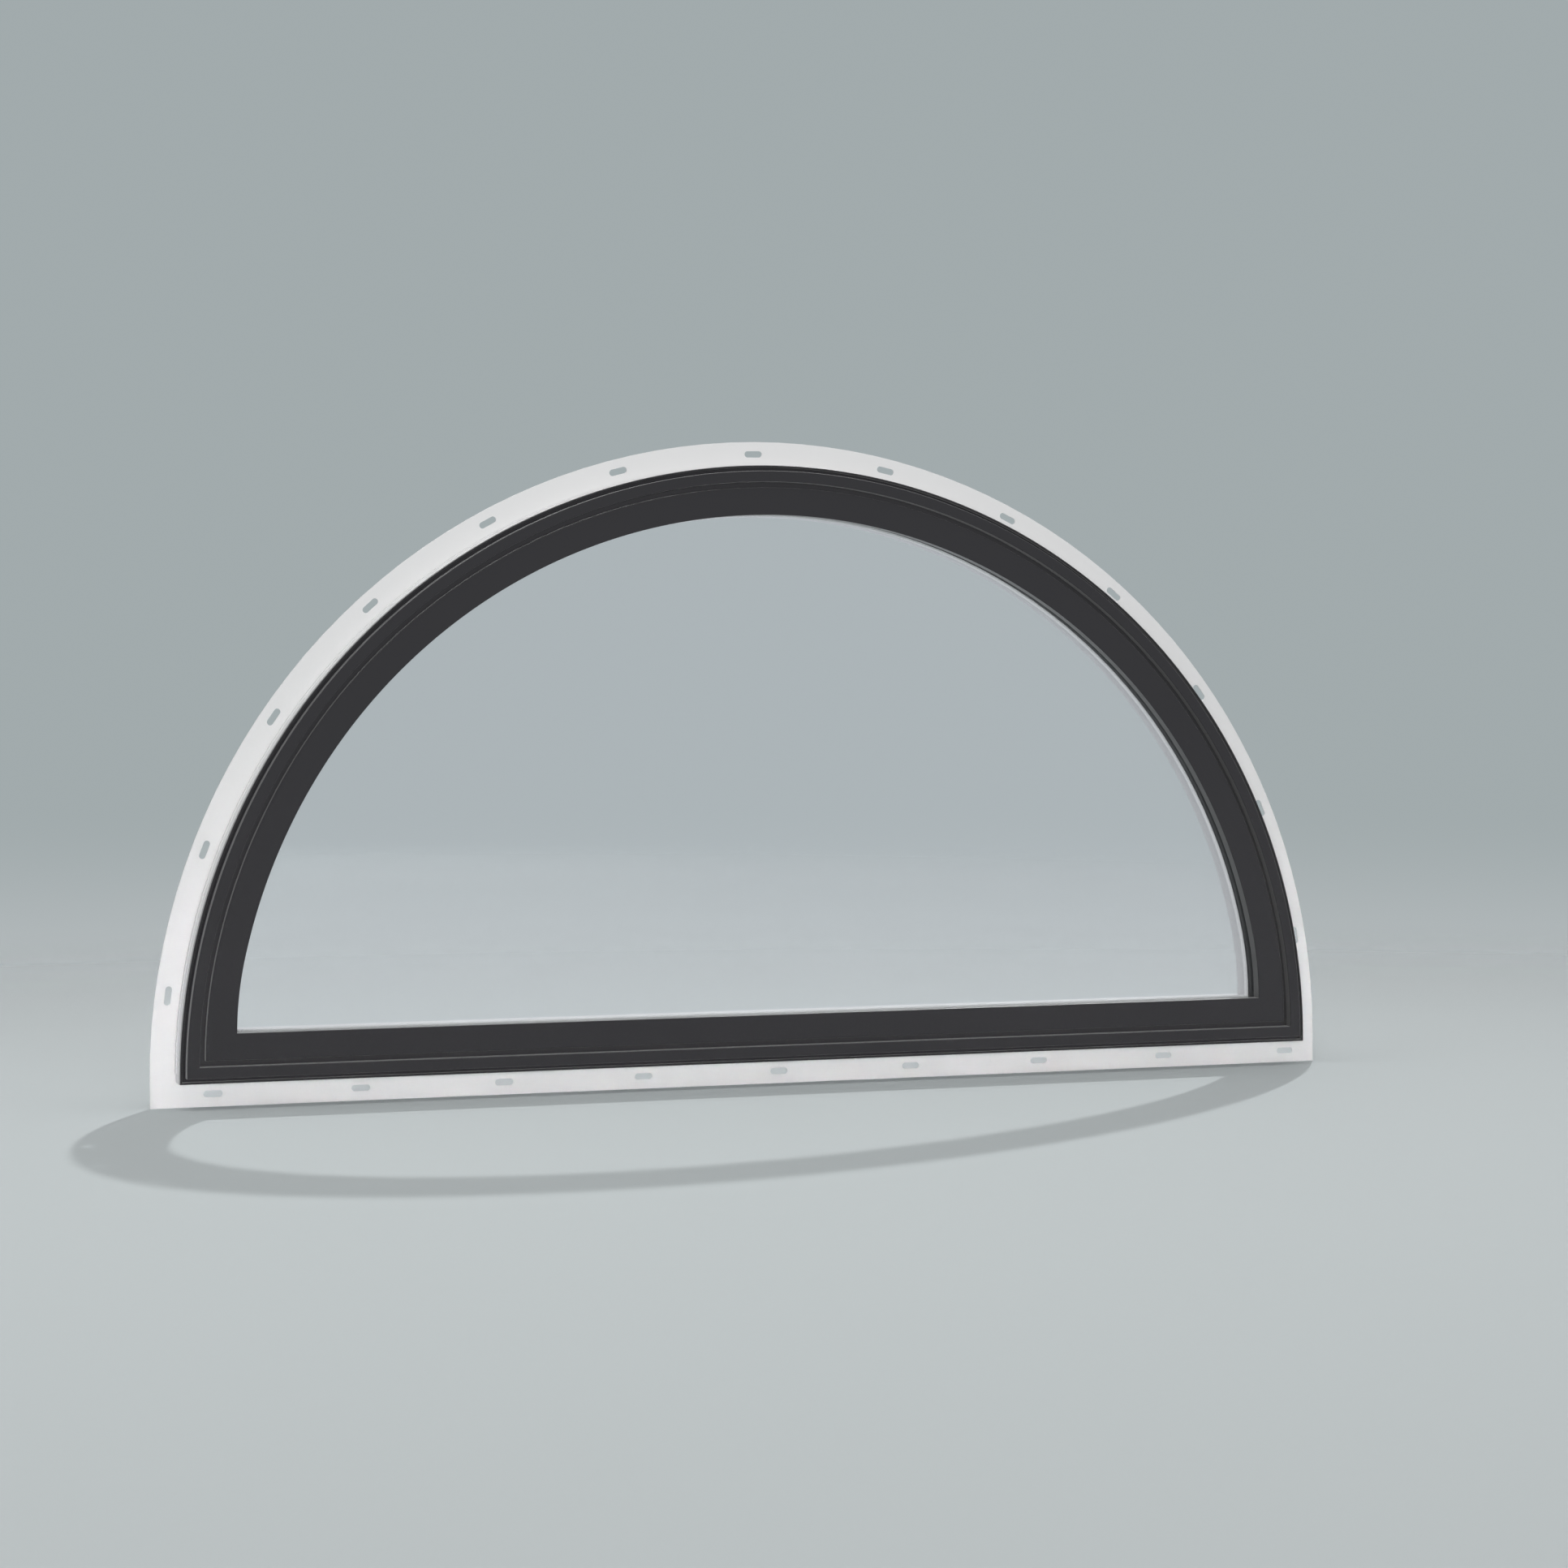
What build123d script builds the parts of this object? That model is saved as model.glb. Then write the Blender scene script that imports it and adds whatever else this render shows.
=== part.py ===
from build123d import *
import math
import os

# Half-round fixed window with a nailing fin.
# Millimetres. X runs along the sill, -Y is outdoors, +Z is up.
# The origin is on the back face of the nailing fin, at the middle of its bottom run, on the nail line.
# "In" distances are measured from the frame's outer edge towards the glass.
# "Out" distances are measured from the fin's front face towards outdoors, and are negative indoors.

# Overall form
frame_radius = 844.5
centre_rise = 2.8
ease_angle = 12.0

# Nailing fin
fin_width = 34.9
fin_thickness = 2.0
fin_tongue = 8.0
fin_leg_height = 8.0
fin_leg_wall = 1.5
fin_leg_stop = 12.0
slot_length = 26.0
slot_width = 9.0
slot_pitch = 203.2
sill_slot_shift = 18.9
arch_slot_first = 152.4

# Outer frame, white
frame_depth_in = 45.0
frame_front_out = 26.0
sash_in = 31.3
frame_step_in = 16.0

# Dark cover over the frame's front
cover_wall = 2.0
lip_width = 3.0
lip_out = 35.4
groove_width = 5.0
band_width = 15.3
band_out = 42.3

# Strip in the channel between frame and sash
channel_floor_out = 30.0
strip_gap = 0.3

# Sash: dark cover outdoors, white core and stop indoors
sash_width = 38.8
sash_front_out = 38.7
sash_cover_back_out = 22.0
sash_bevel = 0.8
sash_back_out = -33.0
sill_sash_trim = 2.5
stop_reveal = 0.8
stop_width = 17.0

# Sealed glass unit
pane_thickness = 4.0
pane_gap = 14.0
outer_gasket = 2.0
inner_gasket = 3.0
gasket_width = 6.0
gasket_setback = 3.0
glass_bite = 13.0
spacer_setback = 2.6
spacer_width = 6.0
block_length = 100.0
block_spacing = 760.0

# How far a cutting solid reaches past what it cuts
overshoot = 20.0

# Worked out from the sizes above
frame_bottom = fin_width / 2
arc_centre = frame_bottom + centre_rise
fin_radius = frame_radius + fin_width
fin_bottom = frame_bottom - fin_width
nail_radius = frame_radius + fin_width / 2
side_run = arc_centre - fin_bottom
arch_run = 2 * side_run + math.pi * nail_radius
arch_slot_count = int((arch_run - arch_slot_first) / slot_pitch) + 1
sill_slot_count = int(2 * fin_radius / slot_pitch) + 1
band_in = lip_width + groove_width
channel_in = band_in + band_width
nose_outer_in = band_in + cover_wall
nose_inner_in = channel_in - cover_wall
floor_out = frame_front_out + cover_wall
sight_in = sash_in + sash_width
outer_pane_out = sash_cover_back_out - outer_gasket
cavity_front_out = outer_pane_out - pane_thickness
cavity_back_out = cavity_front_out - pane_gap
inner_pane_back_out = cavity_back_out - pane_thickness
stop_front_out = inner_pane_back_out - inner_gasket
glass_in = sight_in - glass_bite
stop_inner_in = sight_in + stop_reveal
stop_outer_in = stop_inner_in - stop_width
spacer_inner_in = sight_in - spacer_setback
spacer_outer_in = spacer_inner_in - spacer_width
gasket_inner_in = sight_in - gasket_setback
gasket_outer_in = gasket_inner_in - gasket_width


def depth(out):
    """Y of a plane that lies this far outdoors from the fin's front face."""
    return -fin_thickness - out


def foot_of(inset):
    """Height of a line's foot above the frame's bottom. The sash is a little slimmer at the sill."""
    if inset <= sash_in:
        return inset
    return inset - sill_sash_trim * min(1.0, (inset - sash_in) / sash_width)


def outline(inset):
    """Half-round outline at this distance inside the frame's edge, drawn on the XZ plane.

    The arch is one circle round the arc centre. Where the foot line lies above that
    centre, the last degrees of the arch ease into the vertical at the foot."""
    radius = frame_radius - inset
    foot_z = frame_bottom + foot_of(inset)
    rise = foot_z - arc_centre
    with BuildSketch(Plane.XZ) as sketch:
        with BuildLine():
            if rise <= 0:
                left = Line((-radius, foot_z), (-radius, arc_centre))
                arch = RadiusArc(left @ 1, (radius, arc_centre), radius)
                right = Line(arch @ 1, (radius, foot_z))
                Line(right @ 1, left @ 0)
            else:
                angle = math.radians(ease_angle)
                shift = rise / math.sin(angle)
                ease = radius - shift
                side = shift * math.cos(angle)
                join = (radius * math.cos(angle), arc_centre + radius * math.sin(angle))
                mid = angle / 2
                left = ThreePointArc(
                    (-side - ease, foot_z),
                    (-side - ease * math.cos(mid), foot_z + ease * math.sin(mid)),
                    (-join[0], join[1]),
                )
                arch = ThreePointArc(left @ 1, (0, arc_centre + radius), join)
                right = ThreePointArc(
                    arch @ 1,
                    (side + ease * math.cos(mid), foot_z + ease * math.sin(mid)),
                    (side + ease, foot_z),
                )
                Line(right @ 1, left @ 0)
        make_face()
    return sketch.sketch


def plate(inset, out_back, out_front):
    """Solid half-round plate between two planes."""
    return Location((0, depth(out_back), 0)) * extrude(outline(inset), out_front - out_back, dir=(0, -1, 0))


def ring(inset_a, inset_b, out_back, out_front):
    """Closed half-round ring between two insets and two planes."""
    return plate(inset_a, out_back, out_front) - plate(inset_b, out_back, out_front)


def corner(inset):
    """Lower right corner of the outline at this inset, in X and Z."""
    foot_z = frame_bottom + foot_of(inset)
    rise = max(0.0, foot_z - arc_centre)
    return Vector(frame_radius - inset - rise * math.tan(math.radians(ease_angle / 2)), foot_z)


def split_at_mitres(inset_a, inset_b, solid):
    """A closed ring as its arch and its sill, mitred through its outer and inner lower corners."""
    outer, inner = corner(inset_a), corner(inset_b)
    reach = (inner - outer).normalized() * overshoot
    low, high = outer - reach, inner + reach
    with BuildSketch(Plane.XZ) as sketch:
        with BuildLine():
            Polyline((-low.X, low.Y), (low.X, low.Y), (high.X, high.Y), (-high.X, high.Y), close=True)
        make_face()
    wedge = extrude(sketch.sketch, frame_depth_in + band_out + overshoot, both=True)
    return solid - wedge, solid & wedge


def nose_ring():
    """Rib on the frame's front that the cover's band is folded round."""
    return ring(nose_outer_in, nose_inner_in, frame_front_out, band_out - cover_wall)


def tongue_ring():
    """The fin's tongue, which fills the kerf round the frame's side."""
    return ring(0, fin_tongue, -fin_thickness, 0)


def frame_ring():
    """White frame: a box round the edge, with a kerf for the fin, a nose and a step indoors."""
    body = ring(0, sash_in, sash_back_out, frame_front_out)
    body += ring(0, frame_step_in, -fin_thickness - frame_depth_in, sash_back_out)
    return body + nose_ring() - tongue_ring()


def cover_ring():
    """Dark cover: outer lip, groove, and a raised band folded round the frame's nose."""
    body = ring(0, lip_width, frame_front_out, lip_out)
    body += ring(0, nose_outer_in, frame_front_out, floor_out)
    body += ring(band_in, channel_in, frame_front_out, band_out)
    return body - nose_ring()


def strip_ring():
    """Weatherstrip that fills the channel's floor."""
    return ring(channel_in + strip_gap, sash_in - strip_gap, frame_front_out, channel_floor_out)


def sash_cover_ring():
    """Dark sash face, bevelled along the channel."""
    face = ring(sash_in, sight_in, sash_cover_back_out, sash_front_out)
    front_edges = face.faces().sort_by(Axis.Y)[0].outer_wire().edges()
    return face.chamfer(sash_bevel, None, front_edges)


def sash_core_ring():
    """White sash core behind the face, round the edge of the glass and the stop."""
    return ring(sash_in, stop_outer_in, sash_back_out, sash_cover_back_out)


def stop_ring():
    """White glazing stop that holds the glass from indoors."""
    return ring(stop_outer_in, stop_inner_in, sash_back_out, stop_front_out)


def slot(x, z, turn):
    """Round-ended slot through the fin, its long side turned by this angle from X."""
    with BuildSketch(Plane.XZ) as sketch:
        with Locations((x, z)):
            SlotOverall(slot_length, slot_width, rotation=turn)
    return extrude(sketch.sketch, overshoot, both=True)


def region_below(height):
    """Box that takes in all of the fin below this height."""
    size = 2 * (fin_radius + overshoot)
    return Location((0, 0, height - size / 2)) * Box(size, size, size)


def fin_leg():
    """Low leg of the fin that lies along the arch's side and stops short of the lower corners."""
    leg = plate(-fin_leg_wall, 0, fin_leg_height) - plate(0, 0, fin_leg_height)
    return leg - region_below(frame_bottom + fin_leg_stop)


def flange_ring():
    """Flat flange of the nailing fin, straight at its sides below the arc."""
    with BuildSketch(Plane.XZ) as sketch:
        with BuildLine():
            left = Line((-fin_radius, fin_bottom), (-fin_radius, arc_centre))
            arch = RadiusArc(left @ 1, (fin_radius, arc_centre), fin_radius)
            right = Line(arch @ 1, (fin_radius, fin_bottom))
            Line(right @ 1, left @ 0)
        make_face()
    flange = extrude(sketch.sketch, fin_thickness, dir=(0, -1, 0))
    return flange - plate(0, -fin_thickness - overshoot, overshoot)


def sill_slots():
    """Slots of the bottom run, at even pitch."""
    middle = (sill_slot_count - 1) / 2
    return [slot(sill_slot_shift + (n - middle) * slot_pitch, 0, 0) for n in range(sill_slot_count)]


def arch_slots():
    """Slots round the arch, at even pitch from the fin's lower left corner."""
    slots = []
    for n in range(arch_slot_count):
        angle = math.pi - (arch_slot_first - side_run + n * slot_pitch) / nail_radius
        x = nail_radius * math.cos(angle)
        z = arc_centre + nail_radius * math.sin(angle)
        slots.append(slot(x, z, math.degrees(angle) - 90))
    return slots


def fins():
    """The arch run, with its leg and a tongue all round, and the bottom run, welded under the tongue."""
    flange = flange_ring()
    below = region_below(frame_bottom)
    arch = flange - below + tongue_ring() + fin_leg()
    bottom = flange & below
    for cut in arch_slots():
        arch -= cut
    for cut in sill_slots():
        bottom -= cut
    return arch, bottom


def setting_blocks():
    """Two blocks under the glass, on the sash's sill."""
    foot = frame_bottom + foot_of(stop_outer_in)
    top = frame_bottom + foot_of(glass_in)
    width = outer_pane_out - inner_pane_back_out
    middle = depth((outer_pane_out + inner_pane_back_out) / 2)
    block = Box(block_length, width, top - foot)
    return Part() + [
        Location((side * block_spacing / 2, middle, (foot + top) / 2)) * block for side in (-1, 1)
    ]


def build():
    """Every node by name."""
    nodes = {}
    nodes["nail_fin_arch"], nodes["nail_fin_sill"] = fins()
    rings = {
        "frame": (0, sash_in, frame_ring()),
        "cover": (0, channel_in, cover_ring()),
        "weatherstrip": (channel_in, sash_in, strip_ring()),
        "sash_cover": (sash_in, sight_in, sash_cover_ring()),
        "sash_core": (sash_in, stop_outer_in, sash_core_ring()),
        "glazing_stop": (stop_outer_in, stop_inner_in, stop_ring()),
        "outer_gasket": (gasket_outer_in, gasket_inner_in,
                         ring(gasket_outer_in, gasket_inner_in, outer_pane_out, sash_cover_back_out)),
        "inner_gasket": (gasket_outer_in, gasket_inner_in,
                         ring(gasket_outer_in, gasket_inner_in, stop_front_out, inner_pane_back_out)),
        "spacer": (spacer_outer_in, spacer_inner_in,
                   ring(spacer_outer_in, spacer_inner_in, cavity_back_out, cavity_front_out)),
        "edge_seal": (glass_in, spacer_outer_in,
                      ring(glass_in, spacer_outer_in, cavity_back_out, cavity_front_out)),
    }
    for name, (outer, inner, solid) in rings.items():
        nodes[name + "_arch"], nodes[name + "_sill"] = split_at_mitres(outer, inner, solid)
    nodes["outer_pane"] = plate(glass_in, cavity_front_out, outer_pane_out)
    nodes["inner_pane"] = plate(glass_in, inner_pane_back_out, cavity_back_out)
    nodes["setting_blocks"] = setting_blocks()
    return nodes


os.makedirs("parts", exist_ok=True)
for node, solid in build().items():
    solid.label = node
    export_step(solid, f"parts/{node}.step")
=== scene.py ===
"""Half-round fixed window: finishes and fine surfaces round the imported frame, with its stage."""

import math

import bmesh
import bpy
import numpy as np
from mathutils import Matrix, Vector


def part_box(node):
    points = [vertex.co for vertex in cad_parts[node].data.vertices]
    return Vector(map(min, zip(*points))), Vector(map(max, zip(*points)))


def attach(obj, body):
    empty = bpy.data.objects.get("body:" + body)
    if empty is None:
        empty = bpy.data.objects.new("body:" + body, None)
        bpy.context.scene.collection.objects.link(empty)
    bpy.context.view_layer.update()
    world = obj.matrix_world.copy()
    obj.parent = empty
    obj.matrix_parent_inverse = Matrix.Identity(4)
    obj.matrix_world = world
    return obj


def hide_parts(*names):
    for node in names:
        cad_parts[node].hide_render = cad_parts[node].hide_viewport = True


bl_info = {
    "name": "Half-round window",
    "version": (1, 0, 0),
    "blender": (4, 5, 0),
    "location": "View3D > Sidebar > Window",
    "description": "Builds the dressed surfaces, finishes and stage of a half-round fixed window",
    "category": "Object",
}

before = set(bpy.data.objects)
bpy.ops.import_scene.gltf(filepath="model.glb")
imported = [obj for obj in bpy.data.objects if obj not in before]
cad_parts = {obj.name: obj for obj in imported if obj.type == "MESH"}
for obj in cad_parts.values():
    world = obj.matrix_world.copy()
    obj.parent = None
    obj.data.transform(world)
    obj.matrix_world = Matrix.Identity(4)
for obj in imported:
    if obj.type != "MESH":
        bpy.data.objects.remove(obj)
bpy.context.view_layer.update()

MM = 0.001
FRAME_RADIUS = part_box("frame_arch")[1].x
ARCH_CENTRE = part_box("frame_arch")[1].z - FRAME_RADIUS
FRAME_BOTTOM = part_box("frame_sill")[0].z
FRAME_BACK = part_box("frame_arch")[1].y
FIN_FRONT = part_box("nail_fin_sill")[0].y
FIN_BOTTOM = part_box("nail_fin_sill")[0].z
SASH_IN = ARCH_CENTRE + FRAME_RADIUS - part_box("sash_cover_arch")[1].z
SASH_FRONT = FIN_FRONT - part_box("sash_cover_arch")[0].y
SASH_COVER_BACK = FIN_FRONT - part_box("sash_cover_arch")[1].y
BAND_FRONT = FIN_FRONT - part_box("cover_arch")[0].y
COVER_BACK = FIN_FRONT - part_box("cover_arch")[1].y
STOP_IN = ARCH_CENTRE + FRAME_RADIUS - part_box("glazing_stop_arch")[1].z
STOP_FRONT = FIN_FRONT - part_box("glazing_stop_arch")[0].y
STOP_BACK = FIN_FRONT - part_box("glazing_stop_arch")[1].y
PANE_FRONT = FIN_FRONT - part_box("outer_pane")[0].y

# Turn between two faces, past which the edge between them is drawn sharp
SHARP_ANGLE = math.radians(40)
# Degrees above the horizon between which the world's colours turn
FLOOR_EDGE_FADE = (-5, -2)
CEILING_FADE = (40, 70)
# Width of the camera's sensor in millimetres, to which the lens is given
SENSOR_WIDTH = 36.0


class WindowSizes(bpy.types.PropertyGroup):
    """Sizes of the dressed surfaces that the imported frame's boxes don't give."""

    lip_width: bpy.props.FloatProperty(
        name="Lip width", description="Width of the cover's outer lip",
        default=3 * MM, unit="LENGTH", min=0.0)
    lip_front: bpy.props.FloatProperty(
        name="Lip height", description="How far the lip stands out from the fin",
        default=35.4 * MM, unit="LENGTH", min=0.0)
    groove_width: bpy.props.FloatProperty(
        name="Groove width", description="Width of the groove inside the lip",
        default=5 * MM, unit="LENGTH", min=0.0)
    groove_front: bpy.props.FloatProperty(
        name="Groove floor", description="How far the groove's floor stands out from the fin",
        default=28 * MM, unit="LENGTH", min=0.0)
    band_width: bpy.props.FloatProperty(
        name="Band width", description="Width of the cover's raised band",
        default=15.3 * MM, unit="LENGTH", min=0.0)
    frame_step: bpy.props.FloatProperty(
        name="Frame step", description="Width of the frame's indoor edge",
        default=16 * MM, unit="LENGTH", min=0.0)
    sash_width: bpy.props.FloatProperty(
        name="Sash width", description="Width of the sash's face on the arch",
        default=38.8 * MM, unit="LENGTH", min=0.0)
    sill_trim: bpy.props.FloatProperty(
        name="Sill trim", description="How much slimmer the sash is at the sill",
        default=2.5 * MM, unit="LENGTH", min=0.0)
    stop_reveal: bpy.props.FloatProperty(
        name="Stop reveal", description="How far the indoor stop shows inside the sash",
        default=0.8 * MM, unit="LENGTH", min=0.0)
    bead_depth: bpy.props.FloatProperty(
        name="Bead depth", description="Depth of the sloped bead next to the indoor pane",
        default=4.2 * MM, unit="LENGTH", min=0.0)
    bead_slope: bpy.props.FloatProperty(
        name="Bead slope", description="How much the bead's sight line falls back at the pane",
        default=4.6 * MM, unit="LENGTH", min=0.0)
    ease_angle: bpy.props.FloatProperty(
        name="Ease angle", description="Last turn of the arch that eases into the upright",
        default=math.radians(12), subtype="ANGLE", min=0.01)
    edge_round: bpy.props.FloatProperty(
        name="Edge round", description="Radius on the extrusions' edges",
        default=1.2 * MM, unit="LENGTH", min=0.0)
    trim_round: bpy.props.FloatProperty(
        name="Trim round", description="Radius on the small edges of the stop and the bead",
        default=0.4 * MM, unit="LENGTH", min=0.0)
    seal_width: bpy.props.FloatProperty(
        name="Seal width", description="How far the rubber lip reaches back behind the sash face",
        default=3 * MM, unit="LENGTH", min=0.0)
    seal_root: bpy.props.FloatProperty(
        name="Seal root", description="How far the rubber lip stays behind the sight line at the sash",
        default=0.6 * MM, unit="LENGTH", min=0.0)
    seal_tip: bpy.props.FloatProperty(
        name="Seal tip", description="How far the rubber lip stays behind the sight line at the pane",
        default=0.1 * MM, unit="LENGTH", min=0.0)
    arch_steps: bpy.props.IntProperty(
        name="Arch steps", description="Stations along each swept arch", default=200, min=24)
    sill_steps: bpy.props.IntProperty(
        name="Sill steps", description="Stations along each swept sill", default=24, min=2)


class WindowColours(bpy.types.PropertyGroup):
    """Colours of the finishes and of the stage."""

    vinyl: bpy.props.FloatVectorProperty(
        name="Frame white", description="White frame, fin and indoor sash",
        subtype="COLOR", size=3, default=(0.75, 0.75, 0.75), min=0, max=1)
    charcoal: bpy.props.FloatVectorProperty(
        name="Cover charcoal", description="Painted outdoor cover and sash face",
        subtype="COLOR", size=3, default=(0.018, 0.0178, 0.0188), min=0, max=1)
    # The bead's white is brighter than the frame white: painted light, for the light the bead catches
    # behind the glass
    bead: bpy.props.FloatVectorProperty(
        name="Bead white", description="Bead that holds the indoor pane, whiter than the frame as painted light",
        subtype="COLOR", size=3, default=(0.94, 0.94, 0.95), min=0, max=1)
    strip: bpy.props.FloatVectorProperty(
        name="Strip grey", description="Dark strip in the channel round the sash",
        subtype="COLOR", size=3, default=(0.018, 0.0178, 0.018), min=0, max=1)
    rubber: bpy.props.FloatVectorProperty(
        name="Seal black", description="Gaskets, rubber lip, edge seals and blocks",
        subtype="COLOR", size=3, default=(0.014, 0.014, 0.015), min=0, max=1)
    spacer: bpy.props.FloatVectorProperty(
        name="Spacer grey", description="Edge spacer between the panes",
        subtype="COLOR", size=3, default=(0.018, 0.018, 0.019), min=0, max=1)
    glass: bpy.props.FloatVectorProperty(
        name="Glass tint", description="Tint of each pane",
        subtype="COLOR", size=3, default=(0.975, 0.99, 0.988), min=0, max=1)
    floor: bpy.props.FloatVectorProperty(
        name="Floor", description="Plain pale floor",
        subtype="COLOR", size=3, default=(0.57, 0.615, 0.622), min=0, max=1)
    backdrop: bpy.props.FloatVectorProperty(
        name="Backdrop", description="Plain background behind the window",
        subtype="COLOR", size=3, default=(0.36, 0.405, 0.415), min=0, max=1)


class WindowView(bpy.types.PropertyGroup):
    """Camera, lights and floor."""

    eye: bpy.props.FloatVectorProperty(
        name="Eye", description="Camera place", subtype="TRANSLATION", unit="LENGTH",
        size=3, default=(-1.5809, -4.5387, 0.5529))
    target: bpy.props.FloatVectorProperty(
        name="Target", description="Point in the middle of the picture", subtype="TRANSLATION",
        unit="LENGTH", size=3, default=(0.0272, 0.0, 0.4118))
    key_toward: bpy.props.FloatVectorProperty(
        name="Toward key light", description="Direction from the window to the key light",
        subtype="XYZ", size=3, default=(-0.633, -0.786, 1.0))
    back_toward: bpy.props.FloatVectorProperty(
        name="Toward back light", description="Direction from the window to the back light",
        subtype="XYZ", size=3, default=(0.588, 0.985, 1.0))
    mirrored: bpy.props.FloatVectorProperty(
        name="Mirrored surroundings", description="Colour that glass and paint mirror from all round",
        subtype="COLOR", size=3, default=(0.88, 0.87, 0.97), min=0, max=1)
    far_floor: bpy.props.FloatVectorProperty(
        name="Far floor", description="Colour that the backdrop turns to behind the floor's edge",
        subtype="COLOR", size=3, default=(0.45, 0.485, 0.497), min=0, max=1)
    lens: bpy.props.FloatProperty(
        name="Lens", description="Focal length in millimetres on a 36 mm sensor",
        default=77.16, min=1.0)
    key_strength: bpy.props.FloatProperty(
        name="Key light", description="Strength of the high sun-like light on the outdoor left",
        default=0.15, min=0.0)
    back_strength: bpy.props.FloatProperty(
        name="Back light", description="Strength of the high sun-like light on the indoor right",
        default=1.2, min=0.0)
    sun_angle: bpy.props.FloatProperty(
        name="Sun angle", description="Angle that the key light and the back light span in the sky",
        default=math.radians(1.5), subtype="ANGLE", min=0.0)
    front_power: bpy.props.FloatProperty(
        name="Front light", description="Power of the large soft light behind the camera",
        default=625.0, unit="POWER", min=0.0)
    front_place: bpy.props.FloatVectorProperty(
        name="Front light's place", description="Middle of the front light", subtype="TRANSLATION",
        unit="LENGTH", size=3, default=(-2.2, -9.6, 0.9))
    front_aim: bpy.props.FloatVectorProperty(
        name="Front light's aim", description="Point that the front light faces", subtype="TRANSLATION",
        unit="LENGTH", size=3, default=(0.0, 0.0, 0.4))
    front_size: bpy.props.FloatVectorProperty(
        name="Front light's size", description="Width and height of the front light",
        unit="LENGTH", size=2, default=(7.0, 2.8), min=0.0)
    top_power: bpy.props.FloatProperty(
        name="Top light", description="Power of the soft light over the window",
        default=90.0, unit="POWER", min=0.0)
    top_place: bpy.props.FloatVectorProperty(
        name="Top light's place", description="Middle of the top light", subtype="TRANSLATION",
        unit="LENGTH", size=3, default=(-0.7, -0.6, 4.2))
    top_aim: bpy.props.FloatVectorProperty(
        name="Top light's aim", description="Point that the top light faces", subtype="TRANSLATION",
        unit="LENGTH", size=3, default=(-0.7, -0.59, 0.0))
    top_size: bpy.props.FloatVectorProperty(
        name="Top light's size", description="Width and length of the top light",
        unit="LENGTH", size=2, default=(6.0, 2.4), min=0.0)
    fill_power: bpy.props.FloatProperty(
        name="Low fill", description="Power of the narrow light that reaches the sill from the front",
        default=1.6, unit="POWER", min=0.0)
    fill_place: bpy.props.FloatVectorProperty(
        name="Low fill's place", description="Middle of the low fill", subtype="TRANSLATION",
        unit="LENGTH", size=3, default=(-1.9, -9.5, 0.35))
    fill_aim: bpy.props.FloatVectorProperty(
        name="Low fill's aim", description="Point that the low fill faces", subtype="TRANSLATION",
        unit="LENGTH", size=3, default=(0.0, 0.0, 0.05))
    fill_size: bpy.props.FloatVectorProperty(
        name="Low fill's size", description="Width and height of the low fill",
        unit="LENGTH", size=2, default=(3.4, 0.2), min=0.0)
    fill_spread: bpy.props.FloatProperty(
        name="Low fill's spread", description="Angle that the low fill's rays fan out over",
        default=math.radians(6), subtype="ANGLE", min=0.02)
    sky_strength: bpy.props.FloatProperty(
        name="Sky strength", description="Strength of the even light all round",
        default=0.11, min=0.0)
    ceiling_glow: bpy.props.FloatProperty(
        name="Ceiling glow", description="Brightness that is mirrored from high above",
        default=8.0, min=0.0)
    floor_centre: bpy.props.FloatVectorProperty(
        name="Floor centre", description="Middle of the round floor", subtype="TRANSLATION",
        unit="LENGTH", size=3, default=(-0.3, -2.2, 0.0))
    floor_radius: bpy.props.FloatProperty(
        name="Floor radius", description="Radius of the round floor",
        default=5.6, unit="LENGTH", min=0.1)
    floor_clear: bpy.props.FloatProperty(
        name="Floor fade", description="Width of the ring in which the floor fades out",
        default=2.4, unit="LENGTH", min=0.0)


def sizes():
    """The scene's window sizes."""
    return bpy.context.scene.window_sizes


def colours():
    """The scene's window colours."""
    return bpy.context.scene.window_colours


def foot_height(inset):
    """Height of each line's foot above the frame's bottom.

    It is the inset itself, less a share of the sill trim that grows from none at the
    sash's outer edge to all of it at its inner edge."""
    share = np.clip((inset - SASH_IN) / sizes().sash_width, 0, 1)
    return inset - share * sizes().sill_trim


def outline(inset, turn):
    """X and Z of the half-round line at an inset, where its outward normal has turned from +X.

    On the main arc the point is the arch centre plus the radius times (cos, sin) of the
    turn. Within the ease angle of a foot, centre and radius are those of a smaller arc
    whose centre is level with the foot, so the line stands upright there."""
    ease = sizes().ease_angle
    radius = FRAME_RADIUS - inset
    rise = np.maximum(FRAME_BOTTOM + foot_height(inset) - ARCH_CENTRE, 0)
    shift = rise / math.sin(ease)
    cos, sin = np.cos(turn), np.sin(turn)
    eased = sin < math.sin(ease)
    own_radius = np.where(eased, radius - shift, radius)
    centre_x = np.where(eased, np.sign(cos) * shift * math.cos(ease), 0)
    centre_z = ARCH_CENTRE + np.where(eased, rise, 0)
    return centre_x + own_radius * cos, centre_z + own_radius * sin


def arch_grid(profile):
    """Grid of points: the profile of (inset, outdoors) pairs carried along the arch.

    The turn goes evenly from 0 to pi, and x and z are those of the outline at the inset and
    the turn. The first and last stations are the line's feet, where the arch meets the sill."""
    inset, out = profile[:, :1], profile[:, 1:]
    turn = np.linspace(0, math.pi, sizes().arch_steps + 1)[None, :]
    x, z = outline(inset, turn)
    z[:, 0] = z[:, -1] = FRAME_BOTTOM + foot_height(inset[:, 0])
    return np.stack([x, FIN_FRONT - out + 0 * x, z], -1)


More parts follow.
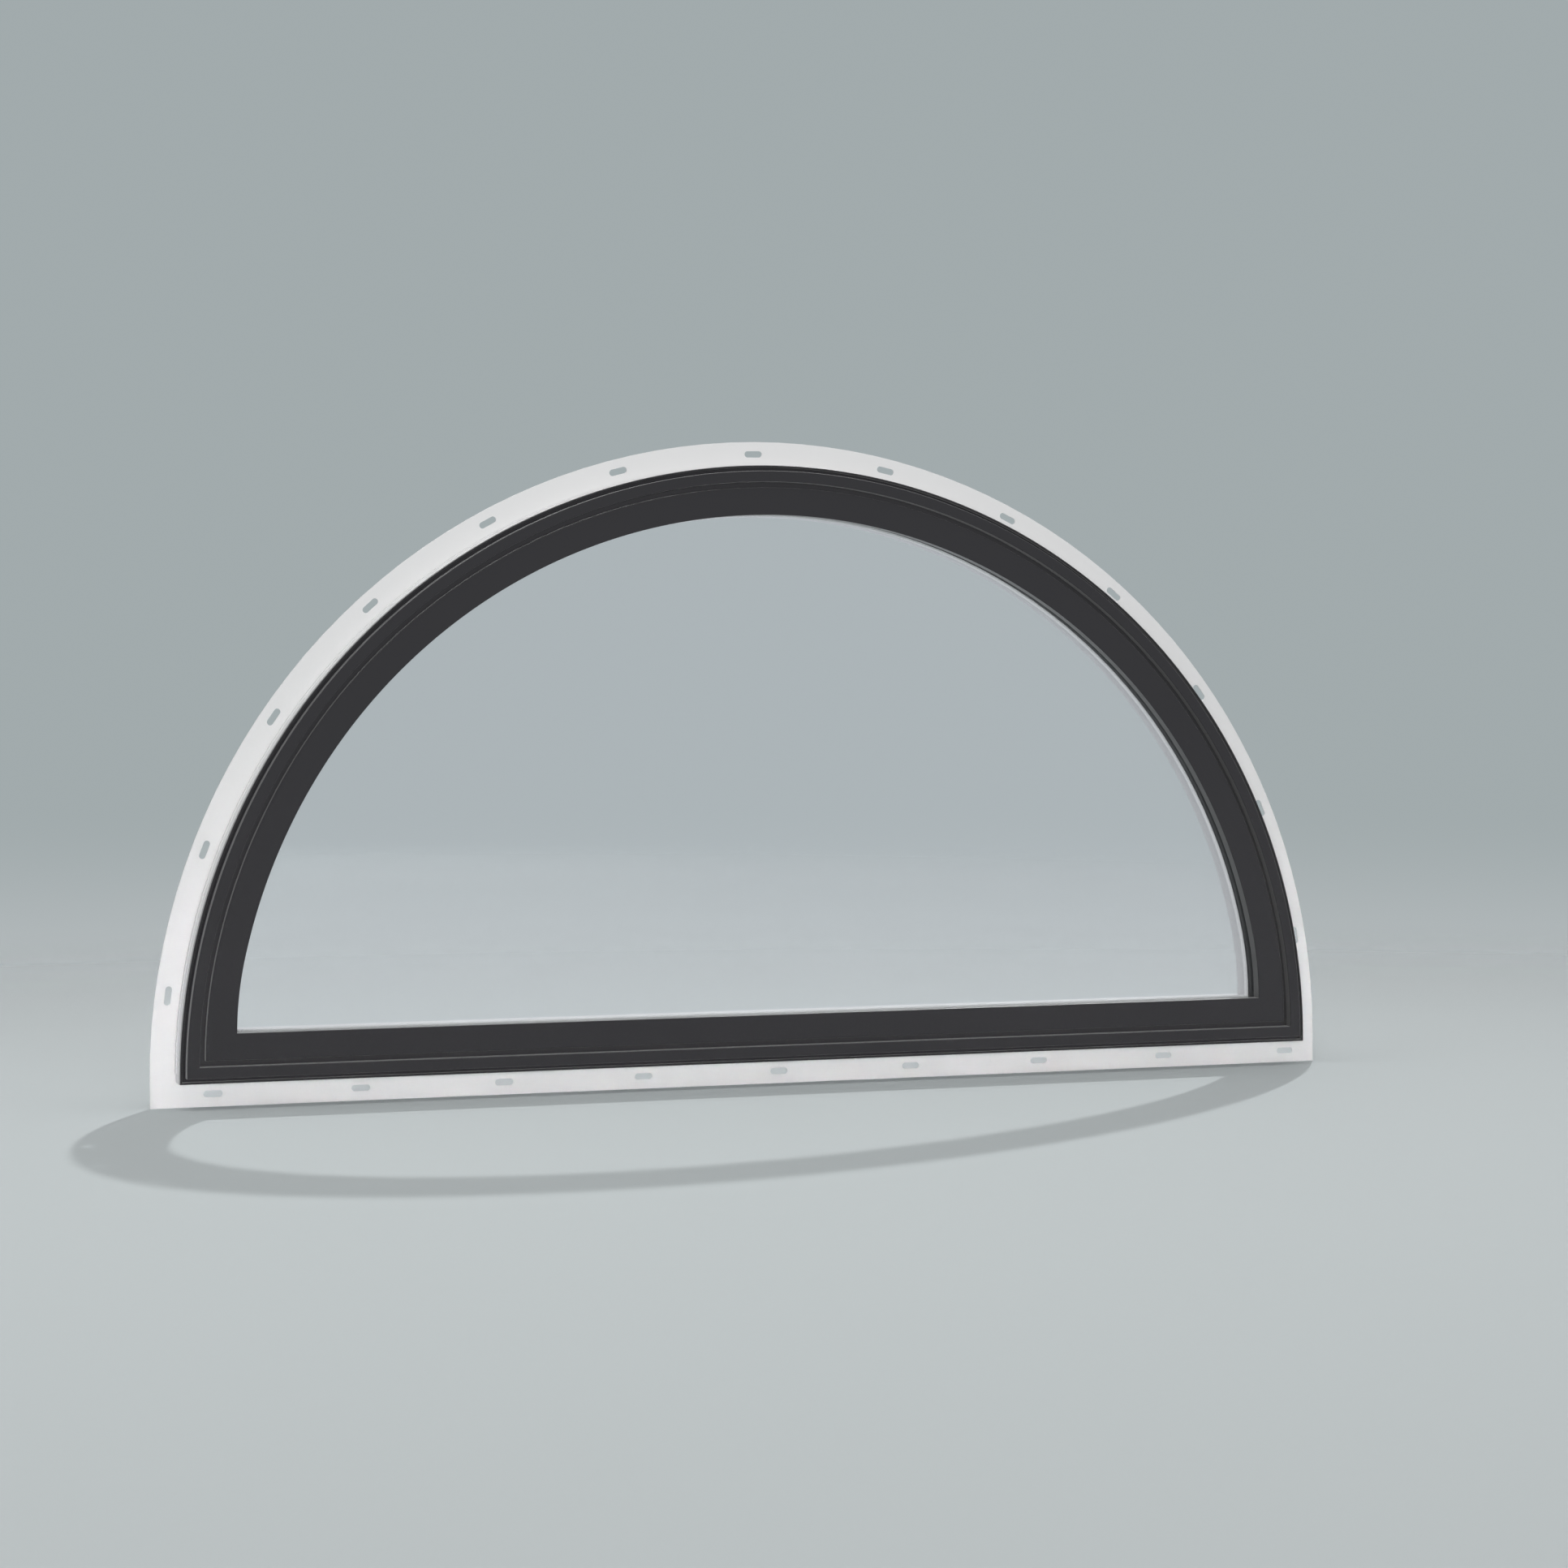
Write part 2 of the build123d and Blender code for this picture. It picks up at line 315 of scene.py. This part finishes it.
def sill_grid(profile):
    """Grid of points: the profile carried along the sill, from foot to foot of each line.

    X goes evenly from minus to plus the x of the line's foot, and z stays at the foot's height."""
    inset, out = profile[:, :1], profile[:, 1:]
    foot_x = outline(inset, np.zeros((1, 1)))[0]
    x = foot_x * np.linspace(-1, 1, sizes().sill_steps + 1)[None, :]
    z = FRAME_BOTTOM + foot_height(inset) + 0 * x
    return np.stack([x, FIN_FRONT - out + 0 * x, z], -1)


def rounded(corners, radius, steps=5):
    """Closed profile with each corner P turned into the curve
    (1 - t)^2 A + 2 t (1 - t) P + t^2 B, where A and B lie on its two sides, one radius away
    or, on a short side, nearly halfway."""
    p = np.array(corners, float)
    back, ahead = np.roll(p, 1, 0) - p, np.roll(p, -1, 0) - p
    back_length = np.linalg.norm(back, axis=1, keepdims=True)
    ahead_length = np.linalg.norm(ahead, axis=1, keepdims=True)
    room = 0.45 * np.minimum(back_length, ahead_length)
    reach = np.minimum(np.broadcast_to(radius, (len(p),))[:, None], room)
    a, b = p + back / back_length * reach, p + ahead / ahead_length * reach
    t = np.linspace(0, 1, steps)[None, :, None]
    curve = (1 - t) ** 2 * a[:, None] + 2 * t * (1 - t) * p[:, None] + t ** 2 * b[:, None]
    return curve.reshape(-1, 2)


def closed_sweep(name, grid, material):
    """Object from a grid whose rows close round the profile, with a flat cap on each end."""
    rows, columns, _ = grid.shape
    i, j = np.arange(rows)[:, None], np.arange(columns - 1)[None, :]
    k = (i + 1) % rows
    quads = np.stack([i * columns + j, i * columns + j + 1, k * columns + j + 1, k * columns + j], -1)
    ends = np.stack([np.arange(rows) * columns, (np.arange(rows) * columns + columns - 1)[::-1]])
    loops = np.concatenate([quads.reshape(-1), ends.reshape(-1)])
    totals = np.concatenate([np.full(quads.size // 4, 4), np.full(2, rows)])
    starts = np.concatenate([[0], np.cumsum(totals)[:-1]])
    mesh = bpy.data.meshes.new(name)
    mesh.vertices.add(rows * columns)
    mesh.vertices.foreach_set("co", grid.reshape(-1).astype(np.float32))
    mesh.loops.add(len(loops))
    mesh.loops.foreach_set("vertex_index", loops.astype(np.int32))
    mesh.polygons.add(len(totals))
    mesh.polygons.foreach_set("loop_start", starts.astype(np.int32))
    mesh.update(calc_edges=True)
    mesh.validate()
    outward = bmesh.new()
    outward.from_mesh(mesh)
    bmesh.ops.recalc_face_normals(outward, faces=outward.faces)
    outward.to_mesh(mesh)
    outward.free()
    mesh.shade_smooth()
    mesh.set_sharp_from_angle(angle=SHARP_ANGLE)
    mesh.materials.append(material)
    piece = bpy.data.objects.new(name, mesh)
    bpy.context.scene.collection.objects.link(piece)
    weighted = piece.modifiers.new("Face weighted normals", "WEIGHTED_NORMAL")
    weighted.keep_sharp = True
    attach(piece, "root")
    return piece


def dress(name, profile, finish, replaced):
    """Arch and sill pieces of one profile, each in place of its node where one is named."""
    for part, grid in (("arch", arch_grid(profile)), ("sill", sill_grid(profile))):
        piece = closed_sweep(f"{name}_{part}", grid, finish(part))
        if replaced:
            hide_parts(f"{replaced}_{part}")


def make_group(name, inputs, outputs):
    """Shader node group with float inputs and these outputs, and its two end nodes."""
    tree = bpy.data.node_groups.new(name, "ShaderNodeTree")
    for label, value in inputs.items():
        socket = tree.interface.new_socket(label, in_out="INPUT", socket_type="NodeSocketFloat")
        socket.default_value = value
    for label in outputs:
        tree.interface.new_socket(label, in_out="OUTPUT", socket_type="NodeSocketFloat")
    return tree, tree.nodes.new("NodeGroupInput"), tree.nodes.new("NodeGroupOutput")


def maths(tree, operation, a, b):
    """Output of a maths node on two sockets or numbers."""
    node = tree.nodes.new("ShaderNodeMath")
    node.operation = operation
    for socket, value in zip(node.inputs, (a, b)):
        if isinstance(value, bpy.types.NodeSocket):
            tree.links.new(value, socket)
        else:
            socket.default_value = value
    return node.outputs[0]


def noise(tree, vector, scale, detail):
    """Output of a noise node on a vector socket."""
    node = tree.nodes.new("ShaderNodeTexNoise")
    node.inputs["Scale"].default_value = scale
    node.inputs["Detail"].default_value = detail
    tree.links.new(vector, node.inputs["Vector"])
    return node.outputs["Fac"]


def extrusion_marks():
    """Group: fine draw lines that run along the arch or the sill, a shallow peel and a broad tone."""
    name = "Extrusion marks"
    if name in bpy.data.node_groups:
        return bpy.data.node_groups[name]
    tree, start, end = make_group(
        name, {"Centre Height": 0.0, "Along Sill": 0.0, "Lines": 0.5}, ("Height", "Tone"))
    place = tree.nodes.new("ShaderNodeTexCoord").outputs["Object"]
    split = tree.nodes.new("ShaderNodeSeparateXYZ")
    tree.links.new(place, split.inputs[0])
    up = maths(tree, "SUBTRACT", split.outputs["Z"], start.outputs["Centre Height"])
    squares = maths(tree, "ADD", maths(tree, "POWER", split.outputs["X"], 2), maths(tree, "POWER", up, 2))
    radius = maths(tree, "SQRT", squares, 0)
    across = tree.nodes.new("ShaderNodeMix")
    tree.links.new(start.outputs["Along Sill"], across.inputs["Factor"])
    tree.links.new(radius, across.inputs["A"])
    tree.links.new(split.outputs["Z"], across.inputs["B"])
    section = tree.nodes.new("ShaderNodeCombineXYZ")
    tree.links.new(across.outputs["Result"], section.inputs["X"])
    tree.links.new(split.outputs["Y"], section.inputs["Y"])
    lines = noise(tree, section.outputs[0], scale=900, detail=1)
    peel = noise(tree, place, scale=420, detail=2)
    mixed = maths(tree, "ADD", maths(tree, "MULTIPLY", lines, start.outputs["Lines"]), peel)
    tree.links.new(mixed, end.inputs["Height"])
    tree.links.new(noise(tree, place, scale=2.2, detail=3), end.inputs["Tone"])
    return tree


def base_material(name):
    """New material with its tree, its Principled shader and its output."""
    material = bpy.data.materials.new(name)
    material.use_nodes = True
    tree = material.node_tree
    return material, tree, tree.nodes["Principled BSDF"], tree.nodes["Material Output"]


def extruded(name, colour, part, roughness, lines, bump, tone, sheen=0.0, specular=0.5):
    """Extruded finish: the colour with a faint broad tone, and shallow lines along the piece.

    Part says whether the lines run along the arch or the sill, and tone is the share by which
    the colour goes up and down."""
    label = f"{name} {part}"
    if label in bpy.data.materials:
        return bpy.data.materials[label]
    material, tree, shader, _ = base_material(label)
    marks = tree.nodes.new("ShaderNodeGroup")
    marks.node_tree = extrusion_marks()
    marks.inputs["Centre Height"].default_value = ARCH_CENTRE
    marks.inputs["Along Sill"].default_value = float(part == "sill")
    marks.inputs["Lines"].default_value = lines
    ramp = tree.nodes.new("ShaderNodeMix")
    ramp.data_type = "RGBA"
    tree.links.new(marks.outputs["Tone"], ramp.inputs["Factor"])
    ramp.inputs["A"].default_value = (*[c * (1 - tone) for c in colour], 1)
    ramp.inputs["B"].default_value = (*[min(1, c * (1 + tone)) for c in colour], 1)
    tree.links.new(ramp.outputs["Result"], shader.inputs["Base Color"])
    polish = tree.nodes.new("ShaderNodeMapRange")
    tree.links.new(marks.outputs["Tone"], polish.inputs["Value"])
    polish.inputs["To Min"].default_value = roughness * 0.9
    polish.inputs["To Max"].default_value = roughness * 1.1
    tree.links.new(polish.outputs["Result"], shader.inputs["Roughness"])
    relief = tree.nodes.new("ShaderNodeBump")
    relief.inputs["Strength"].default_value = bump
    relief.inputs["Distance"].default_value = 0.05 * MM
    tree.links.new(marks.outputs["Height"], relief.inputs["Height"])
    tree.links.new(relief.outputs["Normal"], shader.inputs["Normal"])
    shader.inputs["Sheen Weight"].default_value = sheen
    shader.inputs["Specular IOR Level"].default_value = specular
    return material


def vinyl(part):
    """Satin white extrusion."""
    return extruded("White vinyl", colours().vinyl, part,
                    roughness=0.38, lines=0.8, bump=0.35, tone=0.02, specular=0.25)


def bead(part):
    """Smooth white of the bead, brighter than the frame white: painted light that stands in for the light
    the bead catches behind the glass.
    """
    return extruded("Bead white", colours().bead, part,
                    roughness=0.3, lines=0.5, bump=0.3, tone=0.01, specular=0.25)


def charcoal(part):
    """Satin charcoal paint on the outdoor cover and the sash face."""
    return extruded("Charcoal paint", colours().charcoal, part,
                    roughness=0.3, lines=0.3, bump=0.5, tone=0.05, sheen=0.3, specular=0.24)


def rubber(part):
    """Matt black rubber."""
    return extruded("Black rubber", colours().rubber, part,
                    roughness=0.7, lines=1.0, bump=0.8, tone=0.1)


def strip(part):
    """Dark grey strip in the channel."""
    return extruded("Channel strip", colours().strip, part,
                    roughness=0.5, lines=0.6, bump=0.5, tone=0.05, sheen=0.3)


def spacer_finish(part):
    """Dark edge spacer between the panes."""
    return extruded("Edge spacer", colours().spacer, part,
                    roughness=0.5, lines=0.5, bump=0.4, tone=0.05)


def glass():
    """Clear coated pane with a faint tint. The light of the lamps passes straight through it."""
    label = "Clear glass"
    if label in bpy.data.materials:
        return bpy.data.materials[label]
    material, tree, shader, output = base_material(label)
    shader.inputs["Base Color"].default_value = (*colours().glass, 1)
    shader.inputs["Roughness"].default_value = 0.0
    shader.inputs["IOR"].default_value = 1.5
    shader.inputs["Transmission Weight"].default_value = 1.0
    shader.inputs["Coat Weight"].default_value = 1.0
    shader.inputs["Coat Roughness"].default_value = 0.0
    shader.inputs["Coat IOR"].default_value = 1.9
    clear = tree.nodes.new("ShaderNodeBsdfTransparent")
    rays = tree.nodes.new("ShaderNodeLightPath")
    mix = tree.nodes.new("ShaderNodeMixShader")
    tree.links.new(rays.outputs["Is Shadow Ray"], mix.inputs[0])
    tree.links.new(shader.outputs[0], mix.inputs[1])
    tree.links.new(clear.outputs[0], mix.inputs[2])
    tree.links.new(mix.outputs[0], output.inputs["Surface"])
    return material


class WINDOW_OT_finish_nodes(bpy.types.Operator):
    """Finish the carried-over fins, panes, strips, gaskets, spacer and blocks"""

    bl_idname = "window.finish_nodes"
    bl_label = "Finish carried-over parts"

    def execute(self, context):
        finishes = {
            "nail_fin": vinyl, "frame": vinyl, "sash_core": vinyl, "glazing_stop": vinyl,
            "cover": charcoal, "sash_cover": charcoal,
            "weatherstrip": strip, "outer_gasket": rubber, "inner_gasket": rubber, "edge_seal": rubber,
            "spacer": spacer_finish,
        }
        for name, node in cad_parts.items():
            kind, _, part = name.rpartition("_")
            if part in ("arch", "sill"):
                material = finishes[kind](part)
            elif part == "pane":
                material = glass()
                # Matt bounces skip the panes, which else throw a pool of light on the floor
                node.visible_diffuse = False
            else:
                material = rubber("sill")
            for slot in node.material_slots:
                slot.material = material
        return {"FINISHED"}


class WINDOW_OT_build_frame(bpy.types.Operator):
    """Build the white outer frame, with its indoor edge and seat"""

    bl_idname = "window.build_frame"
    bl_label = "Outer frame"

    def execute(self, context):
        size = sizes()
        step = size.frame_step
        back = FIN_FRONT - FRAME_BACK
        corners = [(0, COVER_BACK), (SASH_IN, COVER_BACK), (SASH_IN, STOP_BACK), (step, STOP_BACK),
                   (step, back), (0, back)]
        rounds = np.array([0, 0, 0, 0.5, 1, 1]) * size.edge_round
        dress("outer_frame", rounded(corners, rounds), vinyl, "frame")
        return {"FINISHED"}


class WINDOW_OT_build_cover(bpy.types.Operator):
    """Build the charcoal cover with its lip, groove and raised band"""

    bl_idname = "window.build_cover"
    bl_label = "Outdoor cover"

    def execute(self, context):
        size = sizes()
        lip = size.lip_width
        band = lip + size.groove_width
        channel = band + size.band_width
        corners = [(0, COVER_BACK), (0, size.lip_front), (lip, size.lip_front), (lip, size.groove_front),
                   (band, size.groove_front), (band, BAND_FRONT), (channel, BAND_FRONT),
                   (channel, COVER_BACK)]
        rounds = np.array([0, 1, 1, 0.4, 0.4, 1, 1, 0]) * size.edge_round
        dress("outdoor_cover", rounded(corners, rounds), charcoal, "cover")
        return {"FINISHED"}


class WINDOW_OT_build_sash(bpy.types.Operator):
    """Build the charcoal sash face"""

    bl_idname = "window.build_sash"
    bl_label = "Sash face"

    def execute(self, context):
        size = sizes()
        sight = SASH_IN + size.sash_width
        corners = [(SASH_IN, SASH_COVER_BACK), (SASH_IN, SASH_FRONT), (sight, SASH_FRONT),
                   (sight, SASH_COVER_BACK)]
        rounds = np.array([0, 1, 1, 0.6]) * size.edge_round
        dress("sash_face", rounded(corners, rounds), charcoal, "sash_cover")
        return {"FINISHED"}


class WINDOW_OT_build_stop(bpy.types.Operator):
    """Build the white indoor glazing stop and its sloped bead"""

    bl_idname = "window.build_stop"
    bl_label = "Glazing stop"

    def execute(self, context):
        size = sizes()
        inner = SASH_IN + size.sash_width + size.stop_reveal
        joint = STOP_FRONT - size.bead_depth
        corners = [(STOP_IN, STOP_BACK), (STOP_IN, joint), (inner, joint), (inner, STOP_BACK)]
        rounds = np.array([0.75, 0, 1, 5]) * size.trim_round
        dress("indoor_stop", rounded(corners, rounds), vinyl, "glazing_stop")
        corners = [(STOP_IN, joint), (STOP_IN, STOP_FRONT), (inner - size.bead_slope, STOP_FRONT),
                   (inner, joint)]
        rounds = np.array([0, 0, 1.5, 1]) * size.trim_round
        dress("glazing_bead", rounded(corners, rounds), bead, None)
        return {"FINISHED"}


class WINDOW_OT_build_glazing_lip(bpy.types.Operator):
    """Build the thin rubber lip between the sash face and the outer pane"""

    bl_idname = "window.build_glazing_lip"
    bl_label = "Glazing lip"

    def execute(self, context):
        size = sizes()
        sight = SASH_IN + size.sash_width
        gap = SASH_COVER_BACK - PANE_FRONT
        corners = [(sight - size.seal_width, PANE_FRONT), (sight - size.seal_width, SASH_COVER_BACK),
                   (sight - size.seal_root, SASH_COVER_BACK), (sight - size.seal_tip, PANE_FRONT)]
        dress("glazing_lip", rounded(corners, 0.3 * gap), rubber, None)
        return {"FINISHED"}


def lamp(name, kind, place, aim, strength):
    """Lamp of one kind at a place, turned to its aim.

    Its light passes straight through the panes, so the rays that they bend don't meet it too."""
    data = bpy.data.lights.new(name, kind)
    data.energy = strength
    holder = bpy.data.objects.new(name, data)
    holder.location = place
    holder.rotation_euler = (Vector(aim) - Vector(place)).to_track_quat("-Z", "Y").to_euler()
    holder.visible_transmission = False
    bpy.context.scene.collection.objects.link(holder)
    return holder


def soft_light(name, place, aim, power, size, spread=math.pi):
    """Rectangular lamp that isn't mirrored, with its rays fanned out over the spread."""
    soft = lamp(name, "AREA", place, aim, power)
    soft.data.shape = "RECTANGLE"
    soft.data.size, soft.data.size_y = size
    soft.data.spread = spread
    soft.visible_glossy = False


def photo_camera(view):
    """Camera at the photo's place and angle."""
    camera = bpy.data.objects.new("camera", bpy.data.cameras.new("camera"))
    camera.data.lens = view.lens
    camera.data.sensor_width = SENSOR_WIDTH
    camera.location = view.eye
    camera.rotation_euler = (view.target - view.eye).to_track_quat("-Z", "Y").to_euler()
    bpy.context.scene.collection.objects.link(camera)
    return camera


def height_fade(tree, height, low, high, below, above):
    """Colour that turns from one to the other between two angles of a ray above the horizon."""
    share = tree.nodes.new("ShaderNodeMapRange")
    share.interpolation_type = "SMOOTHSTEP"
    share.inputs["From Min"].default_value = math.sin(math.radians(low))
    share.inputs["From Max"].default_value = math.sin(math.radians(high))
    tree.links.new(height, share.inputs["Value"])
    fade = tree.nodes.new("ShaderNodeMix")
    fade.data_type = "RGBA"
    fade.inputs["A"].default_value = (*below, 1)
    fade.inputs["B"].default_value = (*above, 1)
    tree.links.new(share.outputs["Result"], fade.inputs["Factor"])
    return fade.outputs["Result"]


def sky_world(view):
    """World with even light, a plain backdrop for the camera and a brighter one for reflections.

    The backdrop turns to the floor's colour round the floor's far edge, which makes
    that edge soft, and what is mirrored turns brighter overhead. Rays that have left a matt
    surface meet the even light alone."""
    world = bpy.data.worlds.new("Sky")
    world.use_nodes = True
    tree = world.node_tree
    tree.nodes.clear()
    sky, seen, mirrored = (tree.nodes.new("ShaderNodeBackground") for _ in range(3))
    sky.inputs["Strength"].default_value = view.sky_strength
    ray = tree.nodes.new("ShaderNodeSeparateXYZ")
    tree.links.new(tree.nodes.new("ShaderNodeTexCoord").outputs["Generated"], ray.inputs[0])
    height = ray.outputs["Z"]
    backdrop = height_fade(tree, height, *FLOOR_EDGE_FADE, view.far_floor, colours().backdrop)
    tree.links.new(backdrop, seen.inputs["Color"])
    overhead = height_fade(tree, height, *CEILING_FADE, view.mirrored, [view.ceiling_glow] * 3)
    tree.links.new(overhead, mirrored.inputs["Color"])
    rays = tree.nodes.new("ShaderNodeLightPath")
    direct = maths(tree, "MAXIMUM", rays.outputs["Is Camera Ray"], rays.outputs["Is Transmission Ray"])
    straight = maths(tree, "LESS_THAN", rays.outputs["Diffuse Depth"], 0.5)
    light = sky
    for factor, other in ((rays.outputs["Is Glossy Ray"], mirrored), (direct, seen)):
        mix = tree.nodes.new("ShaderNodeMixShader")
        tree.links.new(maths(tree, "MULTIPLY", factor, straight), mix.inputs[0])
        tree.links.new(light.outputs[0], mix.inputs[1])
        tree.links.new(other.outputs[0], mix.inputs[2])
        light = mix
    tree.links.new(light.outputs[0], tree.nodes.new("ShaderNodeOutputWorld").inputs["Surface"])
    return world


def floor_disc(centre, radius):
    """Round flat floor at the fin's foot: points at the radius round the centre, as one face."""
    count = 128
    turn = np.arange(count) * math.tau / count
    ring = np.stack([centre.x + radius * np.cos(turn), centre.y + radius * np.sin(turn),
                     np.full(count, FIN_BOTTOM)], -1)
    mesh = bpy.data.meshes.new("floor")
    mesh.from_pydata(ring.tolist(), [], [list(range(count))])
    floor = bpy.data.objects.new("floor", mesh)
    bpy.context.scene.collection.objects.link(floor)
    return floor


def floor_finish(view):
    """Matt floor that fades out in a ring along its edge."""
    material, tree, shader, _ = base_material("Floor")
    shader.inputs["Base Color"].default_value = (*colours().floor, 1)
    shader.inputs["Roughness"].default_value = 0.9
    shader.inputs["Specular IOR Level"].default_value = 0.1
    away = tree.nodes.new("ShaderNodeVectorMath")
    away.operation = "DISTANCE"
    tree.links.new(tree.nodes.new("ShaderNodeTexCoord").outputs["Object"], away.inputs[0])
    away.inputs[1].default_value = (*view.floor_centre.xy, FIN_BOTTOM)
    shown = tree.nodes.new("ShaderNodeMapRange")
    shown.interpolation_type = "SMOOTHSTEP"
    shown.inputs["From Min"].default_value = view.floor_radius
    shown.inputs["From Max"].default_value = view.floor_radius - view.floor_clear
    tree.links.new(away.outputs["Value"], shown.inputs["Value"])
    tree.links.new(shown.outputs["Result"], shader.inputs["Alpha"])
    return material


class WINDOW_OT_build_stage(bpy.types.Operator):
    """Build the floor, backdrop, lights and camera"""

    bl_idname = "window.build_stage"
    bl_label = "Stage"

    def execute(self, context):
        scene = context.scene
        view = scene.window_view
        floor = floor_disc(view.floor_centre, view.floor_radius)
        floor.data.materials.append(floor_finish(view))
        floor.visible_glossy = False
        scene.world = sky_world(view)
        for name, toward, strength in (("key", view.key_toward, view.key_strength),
                                       ("back", view.back_toward, view.back_strength)):
            sun = lamp(name, "SUN", toward, (0, 0, 0), strength)
            sun.data.angle = view.sun_angle
        soft_light("front", view.front_place, view.front_aim, view.front_power, view.front_size)
        soft_light("top", view.top_place, view.top_aim, view.top_power, view.top_size)
        soft_light("fill", view.fill_place, view.fill_aim, view.fill_power, view.fill_size,
                   view.fill_spread)
        scene.camera = photo_camera(view)
        scene.view_settings.view_transform = "Standard"
        return {"FINISHED"}


class WINDOW_PT_panel(bpy.types.Panel):
    """Sidebar list of the window's builders"""

    bl_idname = "WINDOW_PT_panel"
    bl_label = "Half-round window"
    bl_space_type = "VIEW_3D"
    bl_region_type = "UI"
    bl_category = "Window"

    def draw(self, context):
        for operator in OPERATORS:
            self.layout.operator(operator.bl_idname)
        scene = context.scene
        for group in (scene.window_sizes, scene.window_colours, scene.window_view):
            for name in group.__annotations__:
                self.layout.prop(group, name)


OPERATORS = (
    WINDOW_OT_finish_nodes, WINDOW_OT_build_frame, WINDOW_OT_build_cover, WINDOW_OT_build_sash,
    WINDOW_OT_build_stop, WINDOW_OT_build_glazing_lip, WINDOW_OT_build_stage,
)
CLASSES = (WindowSizes, WindowColours, WindowView, *OPERATORS, WINDOW_PT_panel)


def register():
    for cls in CLASSES:
        bpy.utils.register_class(cls)
    bpy.types.Scene.window_sizes = bpy.props.PointerProperty(type=WindowSizes)
    bpy.types.Scene.window_colours = bpy.props.PointerProperty(type=WindowColours)
    bpy.types.Scene.window_view = bpy.props.PointerProperty(type=WindowView)


def unregister():
    del bpy.types.Scene.window_view
    del bpy.types.Scene.window_colours
    del bpy.types.Scene.window_sizes
    for cls in reversed(CLASSES):
        bpy.utils.unregister_class(cls)


def main():
    register()
    bpy.ops.window.finish_nodes()
    bpy.ops.window.build_frame()
    bpy.ops.window.build_cover()
    bpy.ops.window.build_sash()
    bpy.ops.window.build_stop()
    bpy.ops.window.build_glazing_lip()
    bpy.ops.window.build_stage()


if __name__ == "__main__":
    main()
